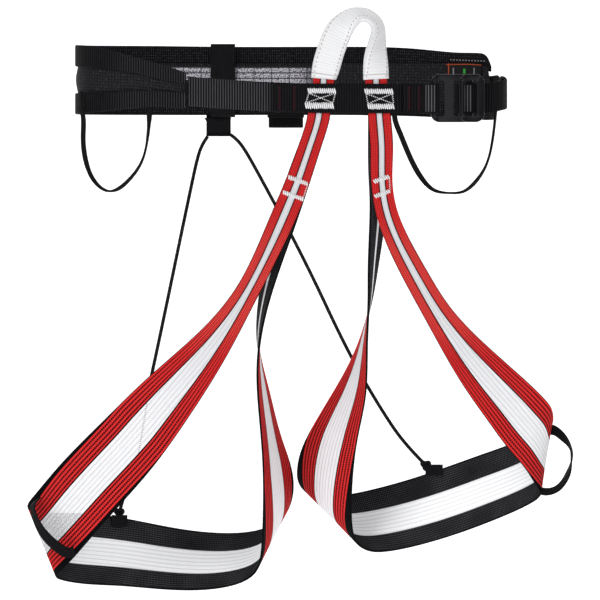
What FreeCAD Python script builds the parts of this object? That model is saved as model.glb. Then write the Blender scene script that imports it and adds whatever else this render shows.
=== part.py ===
import FreeCAD, Part
import math
import os

from FreeCAD import Vector

# A climbing harness, hanging open as if worn. Millimetres, +Z up, +X to the wearer's left,
# -Y to the front. The origin is the middle of the waist opening, half way up the belt.

doc = FreeCAD.newDocument("climbing_harness")

# ---------------------------------------------------------------- driving dimensions

SIZES = [
    ("waist_half_wide", 152.5),
    ("waist_half_deep", 58.5),
    ("waist_squareness", 3.0),
    ("webbing_thick", 1.8),
    ("strap_thick", 2.0),
    ("strap_tall", 21.5),
    ("mesh_thick", 1.2),
    ("layer_gap", 0.4),
    ("leg_narrow", 17.0),
    ("leg_wide", 48.0),
    ("sleeve_wide", 20.5),
    ("sleeve_thick", 6.0),
    ("sleeve_wall", 0.7),
    ("gear_loop_wide", 4.0),
    ("gear_loop_thick", 1.6),
    ("pull_loop_wide", 8.0),
    ("pull_loop_thick", 1.3),
    ("cord_diameter", 2.6),
    ("stitch_depth", 0.7),
    ("frame_tall", 35.0),
    ("frame_thick", 3.0),
    ("back_frame_long", 31.0),
    ("front_frame_long", 18.7),
    ("frame_corner", 6.5),
    ("slot_tall", 26.0),
    ("keeper_wide", 18.0),
    ("keeper_tall", 54.0),
    ("keeper_deep", 9.4),
    ("keeper_wall", 1.4),
]

sheet = doc.addObject("Spreadsheet::Sheet", "Sizes")
for row, (alias, value) in enumerate(SIZES, start=1):
    sheet.set("A%d" % row, alias)
    sheet.set("B%d" % row, str(value))
    sheet.setAlias("B%d" % row, alias)
doc.recompute()


def size(alias):
    """A driving dimension, read from the sheet."""
    return float(sheet.get(alias))


HALF_WIDE = size("waist_half_wide")
HALF_DEEP = size("waist_half_deep")
SQUARENESS = size("waist_squareness")
WEBBING = size("webbing_thick")
STRAP = size("strap_thick")
STRAP_TALL = size("strap_tall")
GAP = size("layer_gap")
NARROW = size("leg_narrow")
WIDE = size("leg_wide")

# Depths of the sewn stack at the front of the belt, front to back.
FRONT_Y = -HALF_DEEP
LAYER_FRONT_Y = FRONT_Y + STRAP / 2 + GAP / 2 + WEBBING / 2
LAYER_BACK_Y = LAYER_FRONT_Y + WEBBING + GAP

# The height at which the risers leave the belt and the leg loops start to swing.
LEG_TOP = -28.2

# The height at which the tie-in webbing bends freely, just clear of the front strap.
LOOP_FOLD_Z = -1.6

nodes = []


def keep(label, obj):
    obj.Label = label
    nodes.append(obj)
    return obj


def feature(label, shape):
    """A webbing piece: a Part::Feature, because a twisting strap is neither padded nor primitive."""
    obj = doc.addObject("Part::Feature", label)
    obj.Shape = shape
    obj.Placement = FreeCAD.Placement()
    return keep(label, obj)


# ---------------------------------------------------------------- straps

def smooth(points, params):
    curve = Part.BSplineCurve()
    curve.interpolate(Points=points, Parameters=params)
    return curve


def side_face(first, second):
    """The straight-ruled face between two rails that share their knots."""
    surface = Part.BSplineSurface()
    rows = [first.getPoles(), second.getPoles()]
    surface.buildFromPolesMultsKnots(rows, [2, 2], first.getMultiplicities(), [0.0, 1.0],
                                     first.getKnots(), False, False, 1, first.Degree)
    return surface.toShape()


def strap_shape(edges, thick, offset=0.0, per_span=5):
    """A strap whose two selvedges pass through the given pairs of points.

    The selvedges are smooth curves. The strap is `thick` across its face, and `offset` moves it
    along its face normal, so that two layers can lie on one route."""
    middles = [(first + second) * 0.5 for first, second in edges]
    params = [0.0]
    for before, after in zip(middles, middles[1:]):
        params.append(params[-1] + max((after - before).Length, 0.5) ** 0.75)
    first_curve = smooth([pair[0] for pair in edges], params)
    second_curve = smooth([pair[1] for pair in edges], params)
    fine = []
    for before, after in zip(params, params[1:]):
        fine += [before + (after - before) * step / per_span for step in range(per_span)]
    fine.append(params[-1])
    corners = [[], [], [], []]
    for param in fine:
        first = first_curve.value(param)
        second = second_curve.value(param)
        along = first_curve.getDN(param, 1) + second_curve.getDN(param, 1)
        normal = along.cross(second - first)
        normal.normalize()
        outer = normal * (offset + thick / 2)
        inner = normal * (offset - thick / 2)
        for row, point in zip(corners, (first + outer, second + outer, second + inner, first + inner)):
            row.append(point)
    rails = [smooth(row, fine) for row in corners]
    faces = [side_face(rails[side], rails[(side + 1) % 4]) for side in range(4)]
    for end in (0, -1):
        loop = [row[end] for row in corners]
        faces.append(Part.Face(Part.makePolygon(loop + loop[:1])))
    shell = Part.makeShell(faces)
    shell.sewShape()
    solid = Part.makeSolid(shell)
    if solid.Volume < 0:
        solid.reverse()
    return solid


def leaning(stations):
    """Selvedge pairs from (x1, z1, x2, z2, y, share).

    share says how far the webbing has widened from narrow (0) to full width (1), and its sign
    says which selvedge is the deeper; None means that the webbing lies square to Y there."""
    edges = []
    for x1, z1, x2, z2, y, share in stations:
        lean = 0.0
        if share is not None:
            wide = NARROW + (WIDE - NARROW) * abs(share)
            across = math.hypot(x1 - x2, z1 - z2)
            lean = math.copysign(math.sqrt(max(wide * wide - across * across, 0.0)), share) / 2
        edges.append((Vector(x1, y + lean, z1), Vector(x2, y - lean, z2)))
    return edges


# ---------------------------------------------------------------- waist band

def oval(degrees, outward=0.0):
    """A point of the belt's rounded oval; 0 degrees is +X, 90 degrees is the back, +Y."""
    cosine = math.cos(math.radians(degrees))
    sine = math.sin(math.radians(degrees))
    power = 2.0 / SQUARENESS
    x = math.copysign(abs(cosine) ** power, cosine) * (HALF_WIDE + outward)
    y = math.copysign(abs(sine) ** power, sine) * (HALF_DEEP + outward)
    return x, y


def band_shape(stations, thick, outward):
    """A piece of the belt from (degrees round the oval, top height, bottom height)."""
    edges = []
    for degrees, top, bottom in stations:
        x, y = oval(degrees, outward)
        edges.append((Vector(x, y, top), Vector(x, y, bottom)))
    return strap_shape(edges, thick)


# The belt webbing is one strap, split in two from the front left to its right end, and the two
# halves are spread by the mesh between them.
UPPER_HALF = [
    (251, 4.5, -4), (244, 9.5, -1.5), (236, 14, 2.5), (226, 18.5, 5.5), (214, 22.5, 7.5),
    (202, 24.5, 9), (190, 25, 9.5), (176, 25.5, 9.5), (160, 25.5, 9.5), (140, 25.5, 9.5),
    (120, 25.5, 9.5), (100, 25, 9.5), (80, 25, 9.5), (60, 23.5, 9.5), (40, 20.5, 9), (25, 20, 8),
    (19, 18.5, 7.5), (15, 15, 7), (11, 10, 6),
]
LOWER_HALF = [
    (251, -10, -21.5), (244, -9, -21), (236, -8.5, -21), (226, -9, -22.5), (214, -10, -24),
    (202, -10, -25), (190, -10, -25.5), (176, -10, -25.5), (160, -10.5, -25.5), (140, -10.5, -25.5),
    (120, -10.5, -25.5), (100, -11, -25.5), (80, -11, -25.5), (60, -12, -26.5), (40, -13.5, -28),
    (25, -14.5, -29), (19, -15, -29.5), (15, -15, -29.5), (11, -15.5, -29.5), (4, -15.5, -29.5),
    (-3, -15.5, -27.5), (-7, -16.5, -24),
]
MESH_OVERLAP = 3.0
mesh_stations = []
for (degrees, _, upper_low), (_, lower_high, _) in zip(UPPER_HALF, LOWER_HALF):
    if degrees < 252.0:
        mesh_stations.append((degrees, upper_low + MESH_OVERLAP, lower_high - MESH_OVERLAP))

mesh_inward = STRAP / 2 + GAP + size("mesh_thick") / 2
feature("band_upper_webbing", band_shape(UPPER_HALF, STRAP, 0.0))
feature("band_lower_webbing", band_shape(LOWER_HALF, STRAP, 0.0))
feature("band_mesh", band_shape(mesh_stations, size("mesh_thick"), -mesh_inward))

# A blank size label inside the right end of the band.
LABEL_THICK = 0.6
LABEL_INWARD = mesh_inward + size("mesh_thick") / 2 + GAP + LABEL_THICK / 2
LABEL_STATIONS = [
    (45.0, 12.4, 0.9), (38.0, 12.4, 0.9), (31.0, 12.4, 0.9), (24.0, 12.0, 0.9), (18.0, 11.6, 0.9),
]
feature("waist_label", band_shape(LABEL_STATIONS, LABEL_THICK, -LABEL_INWARD))


def level_strap(stations, thick=STRAP, tall=STRAP_TALL):
    """A strap standing on edge, from (x, y, middle height)."""
    up = Vector(0, 0, tall / 2)
    edges = [(Vector(x, y, z) + up, Vector(x, y, z) - up) for x, y, z in stations]
    return strap_shape(edges, thick)


# Buckle positions along the front of the belt.
BACK_FRAME_X = 106.3
FRONT_FRAME_X = 126.8
BUCKLE_Z = -14.5
BACK_FRAME_Y = -62.0
FRONT_FRAME_Y = -68.7
LEFT_BAR_WIDE = 3.2
CENTRE_BAR_X = 116.4
CENTRE_BAR_WIDE = 6.6
RIGHT_BAR_WIDE = 3.4

# The front strap runs from the split to the buckle and turns forward round its first bar.
feature("front_strap", level_strap([
    (-70.6, -56.6, -9.0), (-60.0, -57.2, -10.2), (-45.0, -57.9, -11.4), (-25.0, -58.4, -12.6),
    (-5.0, FRONT_Y, -13.6), (20.0, FRONT_Y, -14.4), (50.0, FRONT_Y, -14.6),
    (80.0, FRONT_Y, -14.6), (96.0, FRONT_Y, -14.6), (104.0, -58.6, -14.6), (108.0, -58.9, -14.6),
    (111.2, -60.4, -14.6), (111.9, -62.2, -14.6), (110.9, -64.2, -14.6), (107.9, -65.4, -14.6),
    (104.6, -64.9, -14.6), (102.2, -63.0, -14.6), (99.6, -61.4, -14.6), (96.0, -60.9, -14.6),
    (86.0, -60.9, -14.6),
]))

# The adjusting strap comes round the right hip, goes through the buckle and doubles back over
# itself, and its tail is folded round the hip.
feature("adjust_strap", level_strap([
    (142.3, 37.9, -8.0), (152.6, 22.8, -7.6), (155.4, 4.0, -7.4), (156.4, -14.0, -8.6),
    (156.8, -32.0, -11.0), (154.6, -47.0, -12.6), (147.0, -55.6, -13.8), (138.0, -58.0, -14.4),
    (130.0, FRONT_Y, -14.6), (126.4, -59.6, -14.6), (125.3, -62.0, -14.6), (126.8, -64.0, -14.6),
    (130.0, -64.6, -14.6), (134.0, -65.3, -14.6), (138.0, -64.4, -14.6), (142.0, -62.4, -14.6),
    (148.0, -60.4, -14.4), (155.0, -56.6, -13.2), (159.8, -48.0, -12.0), (161.4, -36.0, -11.2),
    (161.2, -22.0, -9.6), (160.0, -6.0, -8.4), (158.8, 10.0, -8.0),
]))


# ---------------------------------------------------------------- buckle

def origin_plane(body, role):
    return [f for f in body.Origin.OriginFeatures if f.Role == role][0]


def rounded_rectangle(sketch, x0, x1, z0, z1, radius):
    """A closed rectangle with round corners; sketch X and Y are the object's X and Z."""
    spots = [(x1 - radius, z0 + radius, -90), (x1 - radius, z1 - radius, 0),
             (x0 + radius, z1 - radius, 90), (x0 + radius, z0 + radius, 180)]
    ends = []
    for cx, cz, start in spots:
        circle = Part.Circle(Vector(cx, cz, 0), Vector(0, 0, 1), radius)
        arc = Part.ArcOfCircle(circle, math.radians(start), math.radians(start + 90))
        sketch.addGeometry(arc, False)
        ends.append((arc.StartPoint, arc.EndPoint))
    for index in range(4):
        line = Part.LineSegment(ends[index][1], ends[(index + 1) % 4][0])
        sketch.addGeometry(line, False)


def buckle_frame(label, x0, length_alias, middle_y, windows):
    """A flat alloy frame with upright slots, padded from the X-Z plane."""
    body = doc.addObject("PartDesign::Body", label)
    outline = body.newObject("Sketcher::SketchObject", label + "_outline")
    outline.AttachmentSupport = [(origin_plane(body, "XZ_Plane"), "")]
    outline.MapMode = "FlatFace"
    tall = size("frame_tall")
    x1 = x0 + size(length_alias)
    rounded_rectangle(outline, x0, x1, BUCKLE_Z - tall / 2, BUCKLE_Z + tall / 2, size("frame_corner"))
    pad = body.newObject("PartDesign::Pad", label + "_pad")
    pad.Profile = outline
    pad.setExpression("Length", "Sizes.frame_thick")
    pad.Midplane = True
    doc.recompute()
    before = pad.Shape.Volume
    slots = body.newObject("Sketcher::SketchObject", label + "_slots")
    slots.AttachmentSupport = [(origin_plane(body, "XZ_Plane"), "")]
    slots.MapMode = "FlatFace"
    half = size("slot_tall") / 2
    for left, right in windows:
        rounded_rectangle(slots, left, right, BUCKLE_Z - half, BUCKLE_Z + half, 1.2)
    cut = body.newObject("PartDesign::Pocket", label + "_cut")
    cut.Profile = slots
    cut.Type = 1
    cut.Midplane = True
    doc.recompute()
    if not cut.Shape.Volume < before - 1.0:
        raise RuntimeError(label + ": the slots cut nothing")
    soft = body.newObject("PartDesign::Fillet", label + "_edges")
    rims = []
    for index, edge in enumerate(cut.Shape.Edges, start=1):
        box = edge.BoundBox
        flat = abs(box.YMax - box.YMin) < 1e-6
        outside = box.ZMax > BUCKLE_Z + half + 1.0 or box.ZMin < BUCKLE_Z - half - 1.0
        side = box.XMin < x0 + 1e-3 or box.XMax > x1 - 1e-3
        if flat and (outside or side):
            rims.append("Edge%d" % index)
    soft.Base = (cut, rims)
    soft.Radius = 0.9
    body.Tip = soft
    body.Placement = FreeCAD.Placement(Vector(0, middle_y, 0), FreeCAD.Rotation())
    return keep(label, body)


back_right = BACK_FRAME_X + size("back_frame_long")
front_right = FRONT_FRAME_X + size("front_frame_long")
buckle_frame("buckle_back_frame", BACK_FRAME_X, "back_frame_long", BACK_FRAME_Y, [
    (BACK_FRAME_X + LEFT_BAR_WIDE, CENTRE_BAR_X),
    (CENTRE_BAR_X + CENTRE_BAR_WIDE, back_right - RIGHT_BAR_WIDE - 2.0),
])
buckle_frame("buckle_front_frame", FRONT_FRAME_X, "front_frame_long", FRONT_FRAME_Y, [
    (FRONT_FRAME_X + LEFT_BAR_WIDE, front_right - 5.6),
])


# ---------------------------------------------------------------- stitching

def stitch_bar(start, end, wide, depth, y):
    """A raised bar of stitches from start to end, both (x, z), standing forward of depth y."""
    run = Vector(end[0] - start[0], 0, end[1] - start[1])
    length = run.Length
    angle = math.degrees(math.atan2(-run.z, run.x))
    bar = Part.makeBox(length, depth, wide, Vector(0, -depth, -wide / 2))
    turn = FreeCAD.Rotation(Vector(0, 1, 0), angle)
    bar.Placement = FreeCAD.Placement(Vector(start[0], y, start[1]), turn)
    return bar


def stitch_group(label, bars, y):
    depth = size("stitch_depth")
    solids = [stitch_bar(start, end, wide, depth, y) for start, end, wide in bars]
    fused = solids[0]
    if len(solids) > 1:
        fused = solids[0].multiFuse(solids[1:])
    return feature(label, fused.removeSplitter())


STRAP_FACE_Y = FRONT_Y - STRAP / 2 - 0.05


def box_tack(label, top_left, top_right, low_left, low_right):
    """A box of stitches with a cross inside, which holds the risers to the front strap."""
    band = 3.2
    side = 1.4
    stitch_group(label, [
        (top_left, top_right, band), (low_left, low_right, band),
        (top_left, low_left, side), (top_right, low_right, side),
        (top_left, low_right, side), (low_left, top_right, side),
    ], STRAP_FACE_Y)


box_tack("tie_in_tack_left", (17.2, -8.9), (36.8, -8.9), (15.2, -20.4), (35.0, -20.4))
box_tack("tie_in_tack_right", (58.4, -9.4), (78.6, -9.4), (60.4, -20.8), (79.4, -20.8))
SPLIT_FACE_Y = -58.1
stitch_group("split_tack", [((-71.6, -1.0), (-71.6, -12.0), 3.0)], SPLIT_FACE_Y)
stitch_group("belt_tacks_front", [((-3.8, -6.6), (-3.8, -20.4), 1.4), ((6.8, -6.6), (6.8, -20.4), 1.4)],
             STRAP_FACE_Y)
DOUBLED_FACE_Y = -60.9 - STRAP / 2 - 0.3
stitch_group("belt_tacks_buckle", [((88.6, -6.6), (88.6, -22.4), 1.6), ((95.0, -6.6), (95.0, -22.4), 1.6)],
             DOUBLED_FACE_Y)


# ---------------------------------------------------------------- tie-in loop

# Selvedge pairs up the left leg of the loop, over its top and down the right leg.
LOOP = [
    (19, 0.5, 37.5, -1, -55.2, None), (20, 10, 40, 6, -55.2, None),
    (23.5, 23, 43, 16.5, -54.8, None), (32, 41, 49, 32, -53.6, 0.1),
    (39, 46.5, 52, 38, -53, 0.11), (46.5, 50, 55.5, 42, -52.6, 0.11),
    (53.5, 50.5, 59, 42.5, -52.4, 0.11), (60.5, 49.5, 62, 41, -52.4, 0.11),
    (66, 46, 64, 38, -52.6, 0.11), (70, 41.5, 64.5, 34, -53, 0.11),
    (73, 24, 60, 21.5, -54.4, 0.11), (75, 11, 57.5, 10, -55, 0.1),
    (76, 0, 57, -1, -55.2, None),
]
loop_edges = leaning(LOOP)


def narrowed(edges, share):
    """The same route with each pair of selvedges drawn in towards its middle."""
    result = []
    for first, second in edges:
        middle = (first + second) * 0.5
        result.append((middle + (first - middle) * share, middle + (second - middle) * share))
    return result


sleeve_wide = size("sleeve_wide")
inside_share = (sleeve_wide - 2 * size("sleeve_wall")) / sleeve_wide
inside_thick = size("sleeve_thick") - 2 * size("sleeve_wall")


def lengthened(edges, low_z):
    """The route carried straight down from both ends to a height."""
    first, last = edges[0], edges[-1]
    start = tuple(Vector(p.x - 0.02 * (p.z - low_z), p.y, low_z) for p in first)
    end = tuple(Vector(p.x + 0.02 * (p.z - low_z), p.y, low_z) for p in last)
    return [start] + edges + [end]


sleeve_outer = strap_shape(loop_edges, size("sleeve_thick"))
hollow_edges = lengthened(narrowed(loop_edges, inside_share), -8.0)
sleeve_hollow = strap_shape(hollow_edges, inside_thick)
feature("tie_in_sleeve", sleeve_outer.cut(sleeve_hollow))
webbing_edges = lengthened(narrowed(loop_edges, NARROW / sleeve_wide), LOOP_FOLD_Z)
layer_shift = (WEBBING + GAP) / 2
feature("tie_in_webbing_outer", strap_shape(webbing_edges, WEBBING, layer_shift))
feature("tie_in_webbing_inner", strap_shape(webbing_edges, WEBBING, -layer_shift))


# ---------------------------------------------------------------- leg loops

# Left leg loop, as selvedge pairs: down the front, round the outer fold, across the back, round
# the inner corner and up to the riser again. The outer selvedge comes first.
LEFT_LEG = [
    (16, LEG_TOP, 33, LEG_TOP, LAYER_FRONT_Y, None), (10, -48, 27, -49, -57.5, None),
    (1.5, -71, 18, -77, -58, None), (-12, -103, 5, -110, -58, None),
    (-33, -148, -18, -156, -58, None), (-62, -184, -42, -202, -55, None),
    (-100, -218, -70, -247, -48, None), (-129, -246, -95, -282, -40, None),
    (-158, -275, -120, -311, -30, None), (-174, -293, -143, -337, -20, None),
    (-184, -305, -160, -356, -9, None), (-188.5, -312, -167, -364, -1, None),
    (-184, -314, -164, -367, 7, None), (-165, -316, -148, -370, 15, None),
    (-123, -321, -118, -372, 28, None), (-63, -332, -65, -375, 44, 1),
    (-11, -328, -25, -365, 46, 1), (1, -317, -19, -355, 40, 1.2),
    (6, -300, -17, -342, 30, 1.3), (-3, -262, -16, -282, 3, 0.9),
    (-13, -224, -20, -226, -18, 0.6), (-20, -191, -18, -190, -34.5, 0.3),
    (-18, -154, -9, -154, -45.5, 0.05), (-10, -111, 5, -115, -52, 0),
    (1.5, -71, 18, -77, -55.8, None), (10, -48, 27, -49, -55.3, None),
    (16, LEG_TOP, 33, LEG_TOP, LAYER_BACK_Y, None),
]

# Right leg loop, in the same order; it hangs a little turned, so its shape differs.
RIGHT_LEG = [
    (77.5, LEG_TOP, 60.5, LEG_TOP, LAYER_FRONT_Y, None), (79, -48, 62, -48, -57.5, None),
    (78.5, -72, 63, -74, -58, None), (83, -99, 68, -104, -58, None),
    (102, -137, 85, -144, -58, None), (121, -167, 104, -179, -56.5, None),
    (151, -198, 128, -221, -51, None), (180, -224, 151, -254, -41, None),
    (190, -234, 163, -270, -34, None), (195, -241, 175, -284, -26, None),
    (196, -247, 183, -296, -16, None), (194, -251, 187, -304, -4, None),
    (181, -260, 180, -311, 7, None), (147, -274, 152, -324, 25, None),
    (105, -289, 113, -338, 39, None), (56, -303, 71, -347, 49, 1.1),
    (30, -306, 59, -345, 47, 1.25), (13, -300, 52, -338, 39, 1.45),
    (9, -285, 49, -322, 28, 1.4), (20, -255, 52, -270, 4, 1),
    (39, -223, 59, -231, -16, 0.7), (54, -193, 60, -194, -33, 0.35),
    (63, -163, 61, -163, -43.5, 0.1), (68, -136, 61, -136, -47, 0),
    (75, -90, 62, -92, -52, 0), (77, -72, 61, -74, -55.8, None),
    (77.5, -48, 60.5, -48, -55.3, None), (77.5, LEG_TOP, 60.5, LEG_TOP, LAYER_BACK_Y, None),
]

left_edges = leaning(LEFT_LEG)
right_edges = leaning(RIGHT_LEG)
feature("left_leg_webbing", strap_shape(left_edges, WEBBING))
feature("right_leg_webbing", strap_shape(right_edges, WEBBING))


def root_layer(label, top, bottom, y):
    """A riser layer where it is sewn behind the front strap; top and bottom are (x1, x2)."""
    high = -3.7
    low = -26.0
    edges = [(Vector(x1, y, z), Vector(x2, y, z)) for (x1, x2), z in ((top, high), (bottom, low))]
    feature(label, strap_shape(edges, WEBBING))


root_layer("riser_root_left_front", (19.2, 36.4), (15.9, 33.0), LAYER_FRONT_Y)
root_layer("riser_root_left_back", (19.2, 36.4), (15.9, 33.0), LAYER_BACK_Y)
root_layer("riser_root_right_front", (57.8, 75.0), (60.5, 77.5), LAYER_FRONT_Y)
root_layer("riser_root_right_back", (57.8, 75.0), (60.5, 77.5), LAYER_BACK_Y)

RISER_FACE_Y = -58.0 - WEBBING / 2 - 0.05
stitch_group("left_riser_tack", [
    ((2.2, -71.6), (17.0, -77.4), 3.2), ((-1.8, -82.6), (13.4, -88.4), 3.2),
    ((16.2, -76.4), (12.8, -88.0), 1.0),
], RISER_FACE_Y)
stitch_group("right_riser_tack", [
    ((64.4, -75.4), (76.4, -71.6), 3.2), ((65.2, -86.6), (77.0, -82.6), 3.2),
    ((76.2, -72.4), (76.4, -82.6), 1.0),
], RISER_FACE_Y)


# ---------------------------------------------------------------- pull loops on the leg loops

def flat_route(stations, wide):
    """Selvedge pairs from (middle, direction of the width)."""
    edges = []
    for middle, across in stations:
        side = Vector(*across)
        side.normalize()
        side = side * (wide / 2)
        edges.append((Vector(*middle) - side, Vector(*middle) + side))
    return edges


PULL_WIDE = size("pull_loop_wide")
PULL_THICK = size("pull_loop_thick")
feature("left_pull_loop", strap_shape(flat_route([
    ((-180.6, -15, -307.4), (0.5, -0.8, 0.4)), ((-184.5, -18, -312), (0.4, -0.9, 0.1)),
    ((-183.5, -20, -319), (0.5, -0.9, 0.1)), ((-179.5, -21.5, -328), (0.5, -0.7, 0.4)),
    ((-173.5, -22.5, -336), (0.6, -0.5, 0.6)), ((-165.5, -23, -343), (0.5, -0.3, 0.8)),
    ((-158.5, -22.5, -346.5), (0.2, -0.2, 1)), ((-154.4, -21.4, -345), (-0.2, -0.2, 1)),
], PULL_WIDE), PULL_THICK))
feature("right_pull_loop", strap_shape(flat_route([
    ((197, -11, -257), (0, 0.3, 1)), ((201.5, -11, -260), (0.1, 0.4, 0.9)),
    ((206, -11, -264.5), (0.1, 0.7, 0.6)), ((209.5, -11, -271), (0.1, 1, 0.2)),
    ((210, -11, -277.5), (0.1, 1, 0)), ((208, -10.5, -287), (-0.3, 1, 0.2)),
    ((204, -10, -295), (-0.3, 0.9, 0.4)), ((198, -9.6, -300.5), (-0.2, 0.8, 0.5)),
    ((190.5, -9.2, -302), (0, 0.7, 0.6)),
], PULL_WIDE), PULL_THICK))


# ---------------------------------------------------------------- gear loops and haul loop

GEAR_WIDE = size("gear_loop_wide")
GEAR_THICK = size("gear_loop_thick")


def gear_loop(label, stations):
    """A hanging strap that lies flat at its ends and turns on edge at the bottom."""
    feature(label, strap_shape(flat_route(stations, GEAR_WIDE), GEAR_THICK))


gear_loop("gear_loop_left", [
    ((-147.5, -33, -28), (1, -0.6, 0)), ((-147.5, -33, -43), (1, -0.5, 0)),
    ((-145.5, -34, -60), (1, -0.5, 0.3)), ((-139, -37, -75), (0.7, 1, 0.4)),
    ((-129, -41, -82), (0.1, 1, 0.1)), ((-122, -43, -80.5), (0.3, 1, -0.5)),
    ((-114, -45.5, -74), (0.4, 1, -0.4)), ((-105, -48.5, -61.5), (0.2, 1, -0.1)),
    ((-100.5, -50, -45), (0.2, 1, 0)), ((-99, -50.6, -28), (1, -0.3, 0)),
])
gear_loop("gear_loop_right", [
    ((80, -56.4, -28), (1, 0, 0.3)), ((84, -56, -40), (1, 0, 0.4)),
    ((92, -55.5, -59), (1, 0, 0.5)), ((100, -54.8, -73), (0.9, 0.5, 0.6)),
    ((109, -54, -81.5), (0.4, 1, 0.4)), ((120, -53, -83.5), (0.1, 1, 0)),
    ((130, -52, -82.5), (0.2, 1, -0.2)), ((138, -51.3, -76.5), (0.5, 1, -0.4)),
    ((146, -50.6, -65), (0.2, 1, -0.1)), ((151, -50.2, -48), (0.2, 1, 0)),
    ((153.5, -50, -28), (0.3, 1, 0)),
])

# The haul loop stands out at the middle of the back, just below the band.
HAUL_Z = -30.0
HAUL_WIDE = 9.4
HAUL_THICK = 1.8
UPRIGHT = (0.0, 0.0, -1.0)
feature("haul_loop", strap_shape(flat_route([
    ((-11.0, 61.0, HAUL_Z), UPRIGHT), ((-11.2, 63.6, HAUL_Z), UPRIGHT),
    ((-9.8, 67.4, HAUL_Z), UPRIGHT), ((-6.2, 70.0, HAUL_Z), UPRIGHT),
    ((0.6, 70.8, HAUL_Z), UPRIGHT), ((7.4, 70.0, HAUL_Z), UPRIGHT),
    ((11.0, 67.4, HAUL_Z), UPRIGHT), ((12.4, 63.6, HAUL_Z), UPRIGHT),
    ((12.2, 61.0, HAUL_Z), UPRIGHT),
], HAUL_WIDE), HAUL_THICK))

# ---------------------------------------------------------------- riser keeper and cords

KEEPER_X = -45.8
KEEPER_Y = HALF_DEEP - 0.9
keeper = doc.addObject("PartDesign::Body", "riser_keeper")
ring = keeper.newObject("Sketcher::SketchObject", "keeper_ring")
ring.AttachmentSupport = [(origin_plane(keeper, "YZ_Plane"), "")]
ring.MapMode = "FlatFace"
half_tall = size("keeper_tall") / 2
half_deep = size("keeper_deep") / 2
wall = size("keeper_wall")
rounded_rectangle(ring, -half_deep, half_deep, -half_tall, half_tall, 2.2)
rounded_rectangle(ring, wall - half_deep, half_deep - wall, wall - half_tall, half_tall - wall, 0.9)
keeper_pad = keeper.newObject("PartDesign::Pad", "keeper_pad")
keeper_pad.Profile = ring
keeper_pad.setExpression("Length", "Sizes.keeper_wide")
keeper_pad.Midplane = True
keeper.Placement = FreeCAD.Placement(Vector(KEEPER_X, KEEPER_Y, 0), FreeCAD.Rotation())
keep("riser_keeper", keeper)

feature("riser_keeper_tab", strap_shape([
    (Vector(-59.5, 60.4, -27.4), Vector(-39.5, 60.4, -27.4)),
    (Vector(-57.5, 60.4, -32.0), Vector(-41.0, 60.4, -32.0)),
    (Vector(-57.5, 60.4, -39.0), Vector(-39.5, 60.4, -37.5)),
], 3.6))


def cord_route(points):
    """Straight runs joined by tangent arcs, and the arcs' radii."""
    spots = [Vector(*point) for point in points]
    edges = []
    radii = []
    start = spots[0]
    for before, corner, after in zip(spots, spots[1:], spots[2:]):
        back = before - corner
        ahead = after - corner
        turn = math.pi - back.getAngle(ahead)
        reach = 0.45 * min(back.Length, ahead.Length)
        radius = reach / math.tan(turn / 2)
        radii.append(radius)
        back.normalize()
        ahead.normalize()
        enter = corner + back * reach
        leave = corner + ahead * reach
        inward = back + ahead
        inward.normalize()
        middle = corner + inward * (radius / math.cos(turn / 2) - radius)
        edges.append(Part.LineSegment(start, enter).toShape())
        edges.append(Part.Arc(enter, middle, leave).toShape())
        start = leave
    edges.append(Part.LineSegment(start, spots[-1]).toShape())
    return Part.Wire(edges), radii


def cord(label, points):
    route, radii = cord_route(points)
    diameter = size("cord_diameter")
    first = route.Edges[0]
    heading = first.tangentAt(first.FirstParameter)
    circle = Part.Circle(first.valueAt(first.FirstParameter), heading, diameter / 2)
    profile = Part.Wire([circle.toShape()])
    solid = route.makePipeShell([profile], True, False)
    expected = math.pi * diameter ** 2 / 4 * route.Length
    print("%s: length %.1f mm, volume %.1f of %.1f mm3, radii %s" % (
        label, route.Length, solid.Volume, expected, ", ".join("%.0f" % r for r in radii)))
    feature(label, solid)


cord("riser_cord_left", [
    (-57.0, 60.4, -41.0), (-60.2, 60.6, -45.6), (-63.4, 60.6, -52.6), (-67.8, 60.0, -71.0),
    (-98.6, 49.0, -220.0), (-117.6, 37.6, -303.0), (-120.2, 34.4, -312.0), (-121.8, 30.9, -318.0),
])
cord("riser_cord_right", [
    (-40.4, 60.4, -39.6), (-35.6, 60.6, -43.0), (-29.8, 60.8, -50.4), (-19.0, 61.0, -69.6),
    (14.4, 61.0, -131.8), (48.4, 57.0, -204.6), (78.6, 49.0, -255.0), (93.6, 43.4, -273.2),
    (103.4, 37.6, -283.0),
])


# ---------------------------------------------------------------- small parts

def plate(label, middle, sides, turn=FreeCAD.Rotation()):
    """A small sewn tab or label: a block with its middle and its turn given."""
    box = doc.addObject("Part::Box", label)
    box.Length, box.Width, box.Height = sides
    shift = turn.multVec(Vector(*sides) * 0.5)
    box.Placement = FreeCAD.Placement(Vector(*middle) - shift, turn)
    return keep(label, box)


def turned(axis, degrees):
    return FreeCAD.Rotation(Vector(*axis), degrees)


# The ends of the gear loops: the hip ends on the belt's face, the front ends behind its straps.
plate("gear_anchor_left_hip", (-149.2, -34.0, -17.0), (5.0, 1.6, 18.0), turned((0, 0, 1), -62.0))
plate("gear_anchor_left_front", (-99.0, -50.2, -19.0), (5.0, 1.6, 10.0), turned((0, 0, 1), -18.0))
plate("gear_anchor_right_front", (80.2, -56.4, -19.0), (4.0, 1.6, 10.0))
plate("gear_anchor_right_hip", (154.7, -51.5, -19.0), (5.0, 1.6, 14.0), turned((0, 0, 1), 48.0))

# The tabs that the riser cords hook to, sewn along the top of the leg webbing at the back.
plate("left_cord_tab", (-121.6, 25.4, -324.0), (12.0, 1.4, 9.0), turned((0, 0, 1), 22.0))
plate("right_cord_tab", (109.6, 34.9, -286.5), (13.0, 1.4, 8.0), turned((0, 0, 1), -18.0))

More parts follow.
